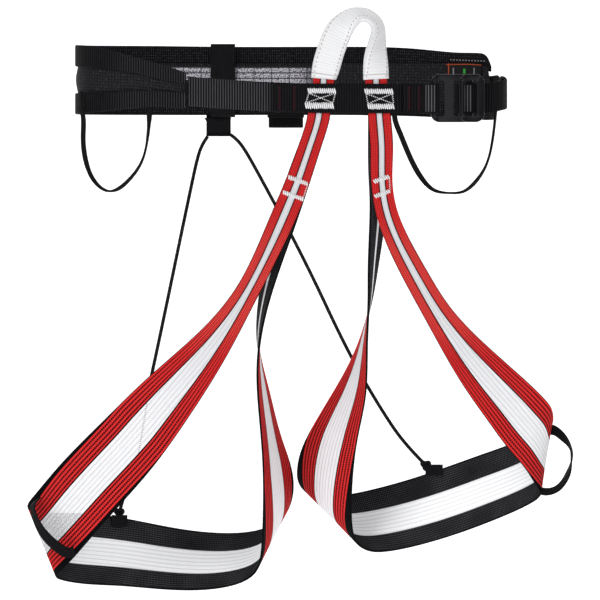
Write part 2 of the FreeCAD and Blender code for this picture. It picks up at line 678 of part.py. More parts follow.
# The haul loop's ends, sewn to the back of the band.
plate("haul_loop_anchor_left", (-10.6, 61.0, -17.0), (5.0, 1.8, 14.0))
plate("haul_loop_anchor_right", (11.8, 61.0, -17.0), (5.0, 1.8, 14.0))

doc.recompute()


def check_and_export():
    for obj in doc.Objects:
        if "Invalid" in obj.State or "Error" in obj.State:
            raise RuntimeError("%s failed: %s" % (obj.Label, obj.State))
    for obj in nodes:
        if obj.Shape.isNull() or not obj.Shape.isValid():
            raise RuntimeError("%s has no valid shape" % obj.Label)
        if obj.Shape.Volume <= 0:
            raise RuntimeError("%s is inside out" % obj.Label)
    os.makedirs("parts", exist_ok=True)
    for obj in nodes:
        obj.Shape.exportStep("parts/%s.step" % obj.Label)
        print("%-26s %9.0f mm3" % (obj.Label, obj.Shape.Volume))


check_and_export()
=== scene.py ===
import math

import bmesh
import bpy
import numpy as np
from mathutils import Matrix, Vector


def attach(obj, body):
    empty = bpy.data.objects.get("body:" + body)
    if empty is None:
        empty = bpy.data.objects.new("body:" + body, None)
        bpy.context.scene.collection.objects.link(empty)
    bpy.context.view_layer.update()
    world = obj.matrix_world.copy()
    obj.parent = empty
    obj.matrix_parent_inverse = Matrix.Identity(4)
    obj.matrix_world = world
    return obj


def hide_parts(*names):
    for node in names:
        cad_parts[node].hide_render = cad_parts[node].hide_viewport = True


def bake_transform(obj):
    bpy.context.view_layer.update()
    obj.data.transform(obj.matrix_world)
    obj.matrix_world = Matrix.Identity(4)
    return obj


# The look of a climbing harness: webbing, stitching, cords and the alloy buckle, in metres.

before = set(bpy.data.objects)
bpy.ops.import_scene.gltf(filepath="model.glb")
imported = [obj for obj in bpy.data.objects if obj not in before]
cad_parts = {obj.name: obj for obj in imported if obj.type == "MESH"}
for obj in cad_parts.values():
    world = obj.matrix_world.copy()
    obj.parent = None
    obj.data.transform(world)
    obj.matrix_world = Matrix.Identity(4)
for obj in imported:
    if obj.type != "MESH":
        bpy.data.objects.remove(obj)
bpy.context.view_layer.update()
MM = 0.001


def add_object(name, data):
    thing = bpy.data.objects.new(name, data)
    bpy.context.collection.objects.link(thing)
    return thing


# ---------------------------------------------------------------- camera, floor and light

def make_camera():
    data = bpy.data.cameras.new("camera")
    data.sensor_width = 36.0
    distance, frame_wide = 12.0, 0.4398
    aim_x, aim_z = 0.011, -0.1616
    data.lens = data.sensor_width * distance / frame_wide
    data.clip_end = 100.0
    camera = add_object("camera", data)
    camera.location = (aim_x, -distance, aim_z)
    camera.rotation_euler = (math.radians(90.0), 0.0, 0.0)
    bpy.context.scene.camera = camera


def area_light(name, place, aim, power, wide):
    data = bpy.data.lights.new(name, "AREA")
    data.energy = power
    data.shape = "SQUARE"
    data.size = wide
    lamp = add_object(name, data)
    lamp.location = place
    lamp.rotation_euler = (Vector(aim) - Vector(place)).to_track_quat("-Z", "Y").to_euler()


def make_stage():
    """A pale floor that curves up into a far backdrop, behind even a camera that looks from the back."""
    mesh = bpy.data.meshes.new("floor")
    built = bmesh.new()
    floor_z, half_wide, front_y, back_y, curve, top_z = -1.2, 55.0, -55.0, 18.0, 4.0, 38.0
    profile = [(front_y, floor_z), (back_y, floor_z)]
    steps = 12
    for step in range(1, steps + 1):
        turn = math.radians(90.0 * step / steps)
        profile.append((back_y + curve * math.sin(turn), floor_z + curve * (1.0 - math.cos(turn))))
    profile.append((back_y + curve, top_z))
    rows = []
    for y, z in profile:
        rows.append([built.verts.new((x, y, z)) for x in (-half_wide, half_wide)])
    for low, high in zip(rows, rows[1:]):
        built.faces.new((low[0], low[1], high[1], high[0]))
    built.to_mesh(mesh)
    built.free()
    floor = add_object("floor", mesh)
    mesh.shade_smooth()
    paint = bpy.data.materials.new("floor_white")
    paint.use_nodes = True
    shader = paint.node_tree.nodes["Principled BSDF"]
    shader.inputs["Base Color"].default_value = (0.95, 0.95, 0.95, 1.0)
    shader.inputs["Roughness"].default_value = 1.0
    shader.inputs["Emission Color"].default_value = (1.0, 1.0, 1.0, 1.0)
    shader.inputs["Emission Strength"].default_value = 0.75
    mesh.materials.append(paint)


def make_light():
    world = bpy.data.worlds.new("world")
    bpy.context.scene.world = world
    world.use_nodes = True
    sky = world.node_tree.nodes["Background"]
    sky.inputs["Color"].default_value = (1.0, 1.0, 1.0, 1.0)
    sky.inputs["Strength"].default_value = 0.22
    area_light("key", (-1.3, -2.2, 1.5), (0, 0, -0.15), 41.0, 1.2)
    area_light("fill", (1.7, -2.0, 0.5), (0, 0, -0.15), 10.0, 1.6)
    area_light("top", (0.2, 0.4, 2.2), (0, 0, -0.1), 14.0, 1.6)


make_camera()
make_stage()
make_light()
bpy.context.scene.view_settings.view_transform = "Standard"


# ---------------------------------------------------------------- material tools

def operator(kind, clamp=False):
    """A method that makes one math node of two values."""
    return lambda first, second=0.0: first.look.math(kind, first, second, clamp)


class Value:
    """A shader value with plain operators; for masks, & means both, | either and ~ the opposite."""

    def __init__(self, look, socket):
        self.look = look
        self.socket = socket

    __add__ = operator("ADD")
    __sub__ = operator("SUBTRACT")
    __mul__ = operator("MULTIPLY")
    __truediv__ = operator("DIVIDE")
    __pow__ = operator("POWER")
    __abs__ = operator("ABSOLUTE")
    __and__ = operator("MULTIPLY", clamp=True)
    __or__ = operator("MAXIMUM")

    def __rsub__(self, other):
        return self.look.math("SUBTRACT", other, self)

    def __invert__(self):
        return self.look.math("SUBTRACT", 1.0, self, clamp=True)


class Look:
    """A procedural material, built from shader values and numbers."""

    def __init__(self, name):
        self.material = bpy.data.materials.new(name)
        self.material.use_nodes = True
        self.tree = self.material.node_tree
        self.shader = self.tree.nodes["Principled BSDF"]

    def put(self, socket, value):
        if isinstance(value, Value):
            self.tree.links.new(value.socket, socket)
        else:
            socket.default_value = value

    def math(self, kind, first, second=0.0, clamp=False):
        node = self.tree.nodes.new("ShaderNodeMath")
        node.operation = kind
        node.use_clamp = clamp
        for socket, value in zip(node.inputs, (first, second, 0.0)):
            self.put(socket, value)
        return Value(self, node.outputs[0])

    def step(self, value, edge, soft):
        """0 below edge, 1 above it, over a soft width."""
        node = self.tree.nodes.new("ShaderNodeMapRange")
        node.interpolation_type = "SMOOTHSTEP"
        self.put(node.inputs["Value"], value)
        self.put(node.inputs["From Min"], edge - soft / 2)
        self.put(node.inputs["From Max"], edge + soft / 2)
        return Value(self, node.outputs["Result"])

    def between(self, value, low, high, soft):
        """1 from low to high, 0 outside."""
        return self.step(value, low, soft) & ~self.step(value, high, soft)

    def near(self, value, centre, half, soft):
        """1 within half of centre, 0 further away."""
        return ~self.step(abs(value - centre), half, soft)

    def wave(self, value, period):
        """0 to 1 and back over each period."""
        return self.math("COSINE", value * (2.0 * math.pi / period)) * -0.5 + 0.5

    def noise(self, where, scale, detail=2.0, stretch=None):
        if stretch:
            shape = self.tree.nodes.new("ShaderNodeVectorMath")
            shape.operation = "MULTIPLY"
            self.put(shape.inputs[0], where)
            self.put(shape.inputs[1], stretch)
            where = Value(self, shape.outputs[0])
        node = self.tree.nodes.new("ShaderNodeTexNoise")
        self.put(node.inputs["Vector"], where)
        self.put(node.inputs["Scale"], scale)
        self.put(node.inputs["Detail"], detail)
        return Value(self, node.outputs["Fac"])

    def mix(self, share, first, second):
        """A colour mix; colours are RGB triples or values."""
        node = self.tree.nodes.new("ShaderNodeMix")
        node.data_type = "RGBA"
        self.put(node.inputs[0], share)
        for socket, value in ((node.inputs[6], first), (node.inputs[7], second)):
            self.put(socket, (*value, 1.0) if isinstance(value, tuple) else value)
        return Value(self, node.outputs[2])

    def split(self, vector):
        parts = self.tree.nodes.new("ShaderNodeSeparateXYZ")
        self.put(parts.inputs[0], vector)
        return [Value(self, output) for output in parts.outputs]

    def map(self, name):
        pin = self.tree.nodes.new("ShaderNodeUVMap")
        pin.uv_map = name
        return Value(self, pin.outputs[0])

    def lay(self):
        """(metres across from the middle, metres along, both) of the webbing."""
        weave = self.map("weave")
        return (*self.split(weave)[:2], weave)

    def zone(self):
        """(-1 to 1 across the webbing, a second value set per piece)."""
        return self.split(self.map("zone"))[:2]

    def place(self):
        """The place in the frame, at rest."""
        return Value(self, self.tree.nodes.new("ShaderNodeTexCoord").outputs["Object"])

    def finish(self, colour, rough, height, depth, gloss=0.03, coat=0.0):
        for name, value in (("Base Color", colour), ("Roughness", rough), ("Coat Weight", coat),
                            ("Coat Roughness", 0.12), ("Specular IOR Level", gloss)):
            self.put(self.shader.inputs[name], value)
        bump = self.tree.nodes.new("ShaderNodeBump")
        for name, value in (("Strength", 1.0), ("Distance", depth), ("Height", height)):
            self.put(bump.inputs[name], value)
        self.tree.links.new(bump.outputs[0], self.shader.inputs["Normal"])
        return self.material


RED = (0.72, 0.014, 0.018)
RED_DARK = (0.36, 0.005, 0.009)
RED_LIGHT = (0.92, 0.12, 0.10)
WHITE = (0.84, 0.84, 0.86)
BLACK = (0.003, 0.003, 0.0035)
BLACK_LIGHT = (0.014, 0.014, 0.016)


def cool(level, blue):
    """A grey with a little more blue."""
    return (level, level, blue)


def red_face():
    """Red webbing with a white middle stripe, black selvedges and thin black dashed lines."""
    look = Look("leg_webbing_red")
    across, along, weave = look.lay()
    share = look.zone()[1]
    wide, deep, high = look.split(look.place())
    away = abs(across)
    half = share * 0.0155 + 0.0085
    stripe = share * 0.0082 + 0.0019
    white = ~look.step(away, stripe, 0.0003)
    rim = look.step(away, half - 0.0006, 0.0003)
    border_end = stripe + (share * 0.0003 + 0.0008)
    border = look.between(away, stripe, border_end, 0.0002)
    lane = (away - stripe) / (half - stripe) * 5.0
    from_line = abs(look.math("FRACT", lane + 0.5) - 0.5)
    line = ~look.step(from_line, 0.23, 0.08) & look.step(lane, 0.5, 0.05)
    shift = look.math("FLOOR", lane + 0.5) * 0.0006
    dash = look.step(look.wave(along + shift, 0.0017), 0.1, 0.2)
    dashes = (line & dash) * (share * 0.5 + 0.5)
    rib = look.wave(along, 0.00115)
    cross = look.wave(across, 0.0011)
    fleck = look.noise(weave, 900.0)
    tone = look.noise(weave, 30.0)
    # Painted highlight: on the risers, at heights from -0.19 to -0.112 m, the rib crests are painted a
    # lighter red.
    riser_highlight = look.step(high, -0.19, 0.04) & ~look.step(high, -0.112, 0.03)
    red = look.mix(fleck * 0.6, RED, RED_DARK)
    # Rib crests are a lighter red everywhere, and more so inside the painted highlight band.
    red = look.mix(rib * (riser_highlight * 0.55 + 0.3), red, RED_LIGHT)
    red = look.mix(tone * 0.3, red, RED_DARK)
    groove = look.wave(across, 0.003) ** 4.0
    whites = look.mix(groove * 0.45, WHITE, cool(0.42, 0.45))
    whites = look.mix(rib * 0.12, whites, cool(0.45, 0.48))
    whites = look.mix(~share * 0.5, whites, cool(0.46, 0.49))
    # On the left leg's white stripe: a grey patch at the outer corner, and a dotted seam higher up.
    patch = look.between(wide, -0.181, -0.148, 0.001) & ~look.step(high, -0.3175, 0.001)
    patch = patch & ~look.step(deep, 0.0, 0.002)
    speck = look.step(look.noise(weave, 1600.0, 1.0), 0.50, 0.08)
    seam_x = (high + 0.239) * 0.17 - 0.101
    seam = look.near(wide, seam_x, 0.0006, 0.0004) & look.step(look.wave(high, 0.0016), 0.5, 0.3)
    seam = seam & look.between(high, -0.274, -0.236, 0.001)
    whites = look.mix((patch & speck) * 0.75, whites, cool(0.28, 0.3))
    whites = look.mix(seam * 0.7, whites, cool(0.25, 0.28))
    colour = look.mix(white, red, whites)
    colour = look.mix(dashes, colour, BLACK)
    colour = look.mix(rim | border, colour, BLACK)
    height = rib * 0.5 + cross * 0.5 - dashes * 0.8 - groove * 0.7
    return look.finish(colour, fleck * 0.2 + 0.62, height, 0.00026)


def black_face():
    """The black inner face of the leg webbing, with its white stripe and a painted sheen."""
    look = Look("leg_webbing_black")
    across, along, weave = look.lay()
    side, share = look.zone()
    away = abs(side + share * -0.06)
    stripe_half = share * 0.27 + 0.12
    white = ~look.step(away, stripe_half, 0.02)
    rib = look.wave(along, 0.0012)
    cross = look.wave(across, 0.0016)
    fleck = look.noise(weave, 900.0)
    sheen = look.noise(weave, 45.0)
    # Painted sheen: where ribs and picks cross, patches set by a large noise are painted a lighter grey.
    dark = look.mix((cross & rib) * (sheen * 1.3), BLACK, cool(0.1, 0.11))
    dark = look.mix(fleck * 0.1, dark, cool(0.06, 0.065))
    pale = look.mix(look.wave(across, 0.0011) * 0.25, cool(0.97, 0.98), cool(0.7, 0.73))
    groove = look.wave(across, 0.003) ** 4.0
    pale = look.mix(groove * 0.36, pale, cool(0.42, 0.45))
    colour = look.mix(white, dark, pale)
    height = rib * 0.4 + cross * 0.6
    return look.finish(colour, fleck * 0.2 + 0.6, height, 0.00022)


def selvedge():
    """The plain black edge of a webbing."""
    look = Look("selvedge_black")
    along = look.lay()[1]
    thread = look.wave(along, 0.0010)
    colour = look.mix(thread * 0.4, BLACK, BLACK_LIGHT)
    return look.finish(colour, 0.75, thread, 0.0002)


def ribbed_black():
    """Belt webbing: upright ribs, strongest at its left part, with faint flecks between yarns."""
    look = Look("belt_webbing")
    across, along, weave = look.lay()
    wide, deep = look.split(look.place())[:2]
    left = ~look.step(wide, -0.011, 0.006)
    joined = look.step(wide, -0.074, 0.006)
    spread = look.step(wide, -0.124, 0.030)
    left = left & (joined * 0.62 + spread * 0.38)
    rib = look.wave(along, 0.0019)
    pick = look.wave(across, 0.0009)
    fleck = look.noise(weave, 700.0)
    tone = rib ** 1.8 * (left * 0.7 + 0.13)
    colour = look.mix(tone, BLACK, cool(0.070, 0.078))
    colour = look.mix(look.step(fleck, 0.66, 0.08) & 0.1, colour, cool(0.1, 0.11))
    front = ~look.step(deep, -0.055, 0.002)
    # Two stretches beside the buckle where the ribs catch more light.
    for low, high in ((0.1020, 0.1095), (0.1295, 0.1365)):
        picked = look.between(wide, low, high, 0.0006)
        picked = (picked & front & rib ** 2.0) * 0.7
        colour = look.mix(picked, colour, cool(0.13, 0.145))
    height = rib * 0.8 + pick * 0.2
    return look.finish(colour, fleck * 0.2 + 0.55, height, 0.00045)


def back_webbing():
    """The waist webbing's inner side: warp columns, pale pin dots and a stitch row over the label."""
    look = Look("waist_webbing")
    across, along, weave = look.lay()
    column = look.wave(along, 0.0016)
    row = look.wave(across, 0.0019)
    fleck = look.noise(weave, 500.0)
    cloud = look.noise(weave, 16.0)
    dot = look.step(column, 0.8, 0.2) & look.step(row, 0.62, 0.3)
    dot = dot & look.step(fleck, 0.46, 0.2)
    colour = look.mix(column * 0.45, BLACK, cool(0.014, 0.016))
    colour = look.mix(dot * (cloud * 0.65), colour, cool(0.15, 0.17))
    wide, _, high = look.split(look.place())
    label_left, label_right = 0.121, 0.147
    level = 0.0152 - (wide - label_left) * 0.05
    hem = look.near(high, level, 0.0003, 0.0003) & look.step(look.wave(wide, 0.0022), 0.5, 0.3)
    hem = hem & look.between(wide, label_left, label_right, 0.001)
    colour = look.mix(hem * 0.6, colour, cool(0.45, 0.48))
    height = column * 0.6 + row * 0.4
    return look.finish(colour, fleck * 0.2 + 0.6, height, 0.00035)


def mesh_panel():
    """Dark mesh, with three rows of silver yarn that fade out towards both ends."""
    look = Look("waist_mesh")
    across, along, weave = look.lay()
    silver = look.zone()[1]
    cell_u = look.wave(across, 0.0022)
    cell_v = look.wave(along, 0.0024)
    hole = look.step(cell_u, 0.55, 0.4) & look.step(cell_v, 0.5, 0.4)
    fleck = look.noise(weave, 520.0, 3.0)
    crumb = look.noise(weave, 1000.0)
    colour = look.mix(hole * 0.8, cool(0.016, 0.018), cool(0.003, 0.0035))
    colour = look.mix(look.step(fleck, 0.62, 0.1) & 0.22, colour, cool(0.1, 0.11))
    low, middle, high = (look.near(across, level, 0.0016, 0.0005) for level in (-0.0084, -0.0044, -0.0004))
    row = low | middle | high
    gap = ~(look.step(look.wave(along, 0.013), 0.985, 0.02) * 0.6)
    strand = look.wave(across, 0.0007) * 0.55 + 0.45
    tooth = (row & gap & look.step(crumb, 0.46, 0.14)) * strand
    colour = look.mix(tooth & silver, colour, (0.66, 0.65, 0.72))
    height = hole * -0.8 + row * 0.3
    return look.finish(colour, 0.6, height, 0.0004)


def plain_black():
    """Smooth tape: a fine weave with little contrast."""
    look = Look("black_tape")
    across, along, weave = look.lay()
    period, tone = 0.0012, 0.020
    thread = look.wave(along, period) * look.wave(across, period * 1.4)
    cloud = look.noise(weave, 60.0, 3.0)
    colour = look.mix(thread * 0.6, BLACK, cool(tone, tone * 1.12))
    colour = look.mix(cloud * 0.15, colour, cool(tone * 1.3, tone * 1.4))
    return look.finish(colour, 0.6, thread, 0.00025)


def white_sleeve():
    """White woven wear sleeve: cross ribs, a row of small stitches at each edge, and a hem."""
    look = Look("sleeve_white")
    across, along, weave = look.lay()
    side, end = look.zone()
    away = abs(side)
    rib = look.wave(along, 0.0021)
    thread = look.wave(along, 0.001) * look.wave(across, 0.0011)
    cloud = look.noise(weave, 55.0, 4.0)
    crease = look.noise(weave, 130.0, 3.0, (0.4, 1.6, 1.0))
    edge = look.step(away, 0.90, 0.1)
    row = look.near(away, 0.76, 0.035, 0.02)
    stitch = row & look.step(look.wave(along, 0.0031), 0.62, 0.15)
    hem = look.near(end, 0.0034, 0.0004, 0.0003)
    colour = look.mix(cloud * 0.35, cool(0.86, 0.87), cool(0.62, 0.64))
    colour = look.mix(rib * 0.14, colour, cool(0.52, 0.55))
    colour = look.mix(edge * 0.4, colour, cool(0.5, 0.53))
    colour = look.mix(stitch * 0.5, colour, (0.22, 0.07, 0.08))
    colour = look.mix(hem * 0.55, colour, (0.3, 0.28, 0.3))
    height = thread * 0.3 + crease * 0.9 + rib * 0.25 - stitch * 0.5
    return look.finish(colour, 0.85, height, 0.0007)


def thread_look(name, colour, dark):
    """Sewing thread, mottled between two colours."""
    look = Look(name)
    spot = look.place()
    fleck = look.noise(spot, 1500.0)
    tint = look.noise(spot, 160.0)
    shade = look.mix(fleck * 0.55, colour, dark)
    shade = look.mix(tint * 0.35, shade, dark)
    return look.finish(shade, 0.65, fleck, 0.00012)


def alloy_look():
    """Glossy black anodised alloy, with a painted highlight along its sharp edges."""
    look = Look("black_alloy")
    spot = look.place()
    smudge = look.noise(spot, 60.0, 4.0)
    fine = look.noise(spot, 900.0)
    geometry = look.tree.nodes.new("ShaderNodeNewGeometry")
    # Painted highlight: edges found by pointiness are painted a lighter grey.
    edge_highlight = look.step(Value(look, geometry.outputs["Pointiness"]), 0.56, 0.08)
    colour = look.mix(edge_highlight * 0.3, cool(0.004, 0.005), cool(0.06, 0.065))
    rough = smudge * 0.08 + 0.08
    return look.finish(colour, rough, fine, 0.00001, gloss=0.10, coat=0.10)


def sewn_black():
    """Black tape of the small sewn tabs, woven along the object's own axes."""
    look = Look("sewn_tape")
    spot = look.place()
    wide, _, high = look.split(spot)
    thread = look.wave(wide, 0.0012) * 0.6 + look.wave(high, 0.0009) * 0.4
    cloud = look.noise(spot, 70.0, 3.0)
    colour = look.mix(thread * 0.5, BLACK, BLACK_LIGHT)
    colour = look.mix(cloud * 0.2, colour, cool(0.02, 0.022))
    return look.finish(colour, 0.6, thread, 0.0002)


def cord_look():
    """Black elastic cord with a braided cover."""
    look = Look("elastic_cord")
    across, along, weave = look.lay()
    braid = look.wave(along + across * 0.6, 0.0013) * look.wave(along - across * 0.6, 0.0013)
    fleck = look.noise(weave, 800.0)
    colour = look.mix(braid * 0.7, BLACK, cool(0.05, 0.055))
    colour = look.mix(look.step(fleck, 0.66, 0.06) & 0.5, colour, cool(0.2, 0.22))
    return look.finish(colour, 0.6, braid, 0.0002)


def label_look():
    """A blank woven label: dark cloth with a thin border and a few plain bars."""
    look = Look("label_cloth")
    across, along = look.lay()[:2]
    side, end = look.zone()
    fine = look.wave(along, 0.0006) * look.wave(across, 0.0006)
    colour = look.mix(fine * 0.5, cool(0.01, 0.011), cool(0.03, 0.033))
    top = look.between(side, -0.93, -0.82, 0.03)
    left = look.between(end, 0.05, 0.075, 0.01)
    colour = look.mix((top | left) * 0.8, colour, (0.42, 0.07, 0.02))
    for centre, half, reach, paint in ((0.18, 0.016, 0.45, cool(0.22, 0.24)),
                                       (0.46, 0.030, 0.30, (0.04, 0.34, 0.05)),
                                       (0.74, 0.016, 0.45, cool(0.24, 0.26))):
        near = look.near(end, centre, half, 0.012)
        inside = ~look.step(abs(side), reach, 0.05)
        colour = look.mix((near & inside) * 0.85, colour, paint)
    return look.finish(colour, 0.7, fine, 0.0001)


LOOKS = {
    "red": red_face(),
    "black": black_face(),
    "rim": selvedge(),
    "belt": ribbed_black(),
    "waist": back_webbing(),
    "mesh": mesh_panel(),
    "tape": plain_black(),
    "sleeve": white_sleeve(),
    "white_thread": thread_look("thread_white", cool(0.86, 0.87), cool(0.58, 0.60)),
    "dark_thread": thread_look("thread_dark", (0.055, 0.016, 0.022), (0.012, 0.006, 0.008)),
    "sewn": sewn_black(),
    "alloy": alloy_look(),
    "cord": cord_look(),
    "label": label_look(),
}


# ---------------------------------------------------------------- straps

def spline(params, values):
    """A natural cubic spline through values at params, as a function of an array."""
    params = np.array(params, float)
    values = np.array(values, float)
    count = len(params)
    step = np.diff(params)
    slope = np.diff(values, axis=0) / step[:, None]
    system = np.eye(count)
    target = np.zeros_like(values)
    for row in range(1, count - 1):
        system[row, row - 1] = step[row - 1]
        system[row, row] = 2.0 * (step[row - 1] + step[row])
        system[row, row + 1] = step[row]
        target[row] = 6.0 * (slope[row] - slope[row - 1])
    bend = np.linalg.solve(system, target)

    def at(where):
        where = np.asarray(where, float)
        span = np.clip(np.searchsorted(params, where) - 1, 0, count - 2)
        width = step[span][:, None]
        low = (where - params[span])[:, None]
        high = (params[span + 1] - where)[:, None]
        return ((bend[span] * high ** 3 + bend[span + 1] * low ** 3) / (6 * width)
                + (values[span] / width - bend[span] * width / 6) * high
                + (values[span + 1] / width - bend[span + 1] * width / 6) * low)

    return at


class Route:
    """The smooth face that a strap lies on, from pairs of selvedge points in millimetres."""

    def __init__(self, edges, per_span=8):
        first = np.array([pair[0] for pair in edges], float)
        second = np.array([pair[1] for pair in edges], float)
        middle = (first + second) / 2
        gaps = np.maximum(np.linalg.norm(np.diff(middle, axis=0), axis=1), 0.5) ** 0.75
        params = np.concatenate([[0.0], np.cumsum(gaps)])
        fine = []
        for before, after in zip(params, params[1:]):
            fine.extend(before + (after - before) * np.arange(per_span) / per_span)
        fine = np.array(fine + [params[-1]])
        self.first = spline(params, first)(fine)
        self.second = spline(params, second)(fine)
        self.middle = (self.first + self.second) / 2
        along = np.gradient(self.middle, fine, axis=0)
        normal = np.cross(along, self.second - self.first)
        self.normal = normal / np.linalg.norm(normal, axis=1)[:, None]
        length = np.linalg.norm(np.diff(self.middle, axis=0), axis=1)
        self.run = np.concatenate([[0.0], np.cumsum(length)])
        self.wide = np.linalg.norm(self.second - self.first, axis=1)
        self.extra = np.zeros(len(fine))  # the zone map's second value


def ring_faces(rows, columns, turned=False):
    """Quads between closed rings of points, and a cap at each end."""
    faces = []
    for row in range(rows - 1):
        for column in range(columns):
            after = (column + 1) % columns
            faces.append((row * columns + column, row * columns + after,
                          (row + 1) * columns + after, (row + 1) * columns + column))
    first = list(range(columns))
    last = list(range((rows - 1) * columns, rows * columns))
    (first if turned else last).reverse()
    return faces + [first, last]


def strap(name, route, thick, looks, offset=0.0, across=11, outer=1, crown=0.0):
    """A woven strap on a route: two faces and rounded selvedges, with weave coordinates.

    looks are the materials of the outer face, the inner face and the selvedges."""
    round_share = min(thick / np.mean(route.wide), 0.5)
    flat_share = 1 - round_share
    inner = np.linspace(-flat_share, flat_share, across)
    corner = [(flat_share + round_share * math.sin(a), math.cos(a)) for a in np.radians([20, 50, 75])]
    # Each ring point: place across (-1 to 1), height (-1 to 1) and the look it belongs to.
    ring = [(spot, 1.0, 0) for spot in inner]
    ring += [(spot, height, 0) for spot, height in corner]
    ring += [(spot, -height, 2) for spot, height in reversed(corner)]
    ring += [(spot, -1.0, 1) for spot in reversed(inner)]
    ring += [(-spot, -height, 2) for spot, height in corner]
    ring += [(-spot, height, 0) for spot, height in reversed(corner)]
    half = (route.second - route.first) / 2
    points = []
    for spot, height, _ in ring:
        rise = offset + outer * height * thick / 2 + outer * crown * (1 - spot ** 2) ** 2 * (height > 0)
        points.append(route.middle + half * spot + route.normal * rise)
    grid = np.stack(points, axis=1) * MM
    rows, columns = grid.shape[:2]
    mesh = bpy.data.meshes.new(name)
    mesh.from_pydata(grid.reshape(-1, 3).tolist(), [], ring_faces(rows, columns))
    for look in looks:
        mesh.materials.append(LOOKS[look])
    weave = mesh.uv_layers.new(name="weave")
    zone = mesh.uv_layers.new(name="zone")
    spots, _, kinds = zip(*ring)
    for face in mesh.polygons:
        face.use_smooth = True
        for loop in face.loop_indices:
            vertex = mesh.loops[loop].vertex_index
            row, column = divmod(vertex, columns)
            metres = spots[column] * route.wide[row] / 2 * MM
            weave.data[loop].uv = (metres, route.run[row] * MM)
            zone.data[loop].uv = (spots[column], route.extra[row])
    for index, face in enumerate(mesh.polygons):
        column = index % columns
        if index >= (rows - 1) * columns:
            face.material_index = 2
            face.use_smooth = False
        else:
            pair = (kinds[column], kinds[(column + 1) % columns])
            face.material_index = 2 if 2 in pair else pair[0]
    if outer < 0:
        mesh.flip_normals()
    mesh.update()
    piece = add_object(name, mesh)
    return piece


def leaning(stations, narrow, wide):
    """Selvedge pairs from (x1, z1, x2, z2, y, share), as in the model's webbing."""
    edges = []
    for x1, z1, x2, z2, y, share in stations:
        lean = 0.0
        if share is not None:
            full = narrow + (wide - narrow) * abs(share)
            span = math.hypot(x1 - x2, z1 - z2)
            lean = math.copysign(math.sqrt(max(full * full - span * span, 0.0)), share) / 2
        edges.append(((x1, y + lean, z1), (x2, y - lean, z2)))
    return edges


# ---------------------------------------------------------------- stitches

# A stitch's thickness at places along it: it dives into the cloth at both ends.
STITCH_SHAPE = ((0.0, 0.45), (0.12, 0.85), (0.3, 1.0), (0.7, 1.0), (0.88, 0.85), (1.0, 0.45))
STITCH_SIDES = 6
STITCH_FLAT = 0.75
STITCH_ARCH = 0.35


def thread_mesh(name, stitches, look):
    """Many short raised stitches: (start, end, face normal, thread thickness)."""
    built = bmesh.new()
    for start, end, normal, thick in stitches:
        run = end - start
        forward = run.normalized()
        up = (normal - forward * normal.dot(forward)).normalized()
        side = forward.cross(up)
        rows = []
        for share, size in STITCH_SHAPE:
            arch = thick * STITCH_ARCH * math.sin(math.pi * share)
            centre = start + run * share + up * arch
            row = []
            for turn in range(STITCH_SIDES):
                angle = math.radians(360 / STITCH_SIDES * turn)
                shift = side * math.cos(angle) + up * math.sin(angle) * STITCH_FLAT
                row.append(built.verts.new(centre + shift * (thick / 2 * size)))
            rows.append(row)
        for low, high in zip(rows, rows[1:]):
            for turn in range(STITCH_SIDES):
                after = (turn + 1) % STITCH_SIDES
                built.faces.new((low[turn], low[after], high[after], high[turn]))
        built.faces.new(list(reversed(rows[0])))
        built.faces.new(rows[-1])
    mesh = bpy.data.meshes.new(name)
    built.to_mesh(mesh)
    built.free()
    mesh.shade_smooth()
    mesh.materials.append(look)
    piece = add_object(name, mesh)
    return piece


WOBBLE = 0.12
SLANT = 0.35


def bar_tack(start, end, wide, normal, pitch, thick, seed):
    """A bar of close zigzag stitches that run across the bar, with uneven ends."""
    rng = np.random.default_rng(seed)
    run = end - start
    side = run.normalized().cross(normal).normalized() * (wide / 2)
    count = max(2, int(run.length / pitch))
    stitches = []
    for index in range(count):
        share = (index + 0.5) / count
        centre = start + run * share
        slant = run.normalized() * pitch * SLANT
        grow = 1.0 + WOBBLE * (rng.random() - 0.5) * 2
        stitches.append((centre - side * grow - slant, centre + side * grow + slant, normal, thick))
    return stitches


# ---------------------------------------------------------------- dimensions shared with the model

WEBBING = 1.8
STRAP = 2.0
GAP = 0.4
NARROW = 17.0
WIDE = 48.0
FRONT_Y = -58.5
LAYER_FRONT_Y = FRONT_Y + STRAP / 2 + GAP / 2 + WEBBING / 2
LAYER_BACK_Y = LAYER_FRONT_Y + WEBBING + GAP
LEG_TOP = -28.2


def settle(piece, body, *nodes):
    """Hangs a piece on a body, in place of the CAD nodes that it covers."""
    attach(piece, body)
    if nodes:
        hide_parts(*nodes)


def clothe(node, look):
    """Gives a carried-over CAD node its material."""
    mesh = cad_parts[node].data
    mesh.materials.clear()
    mesh.materials.append(LOOKS[look])


# ---------------------------------------------------------------- leg loops

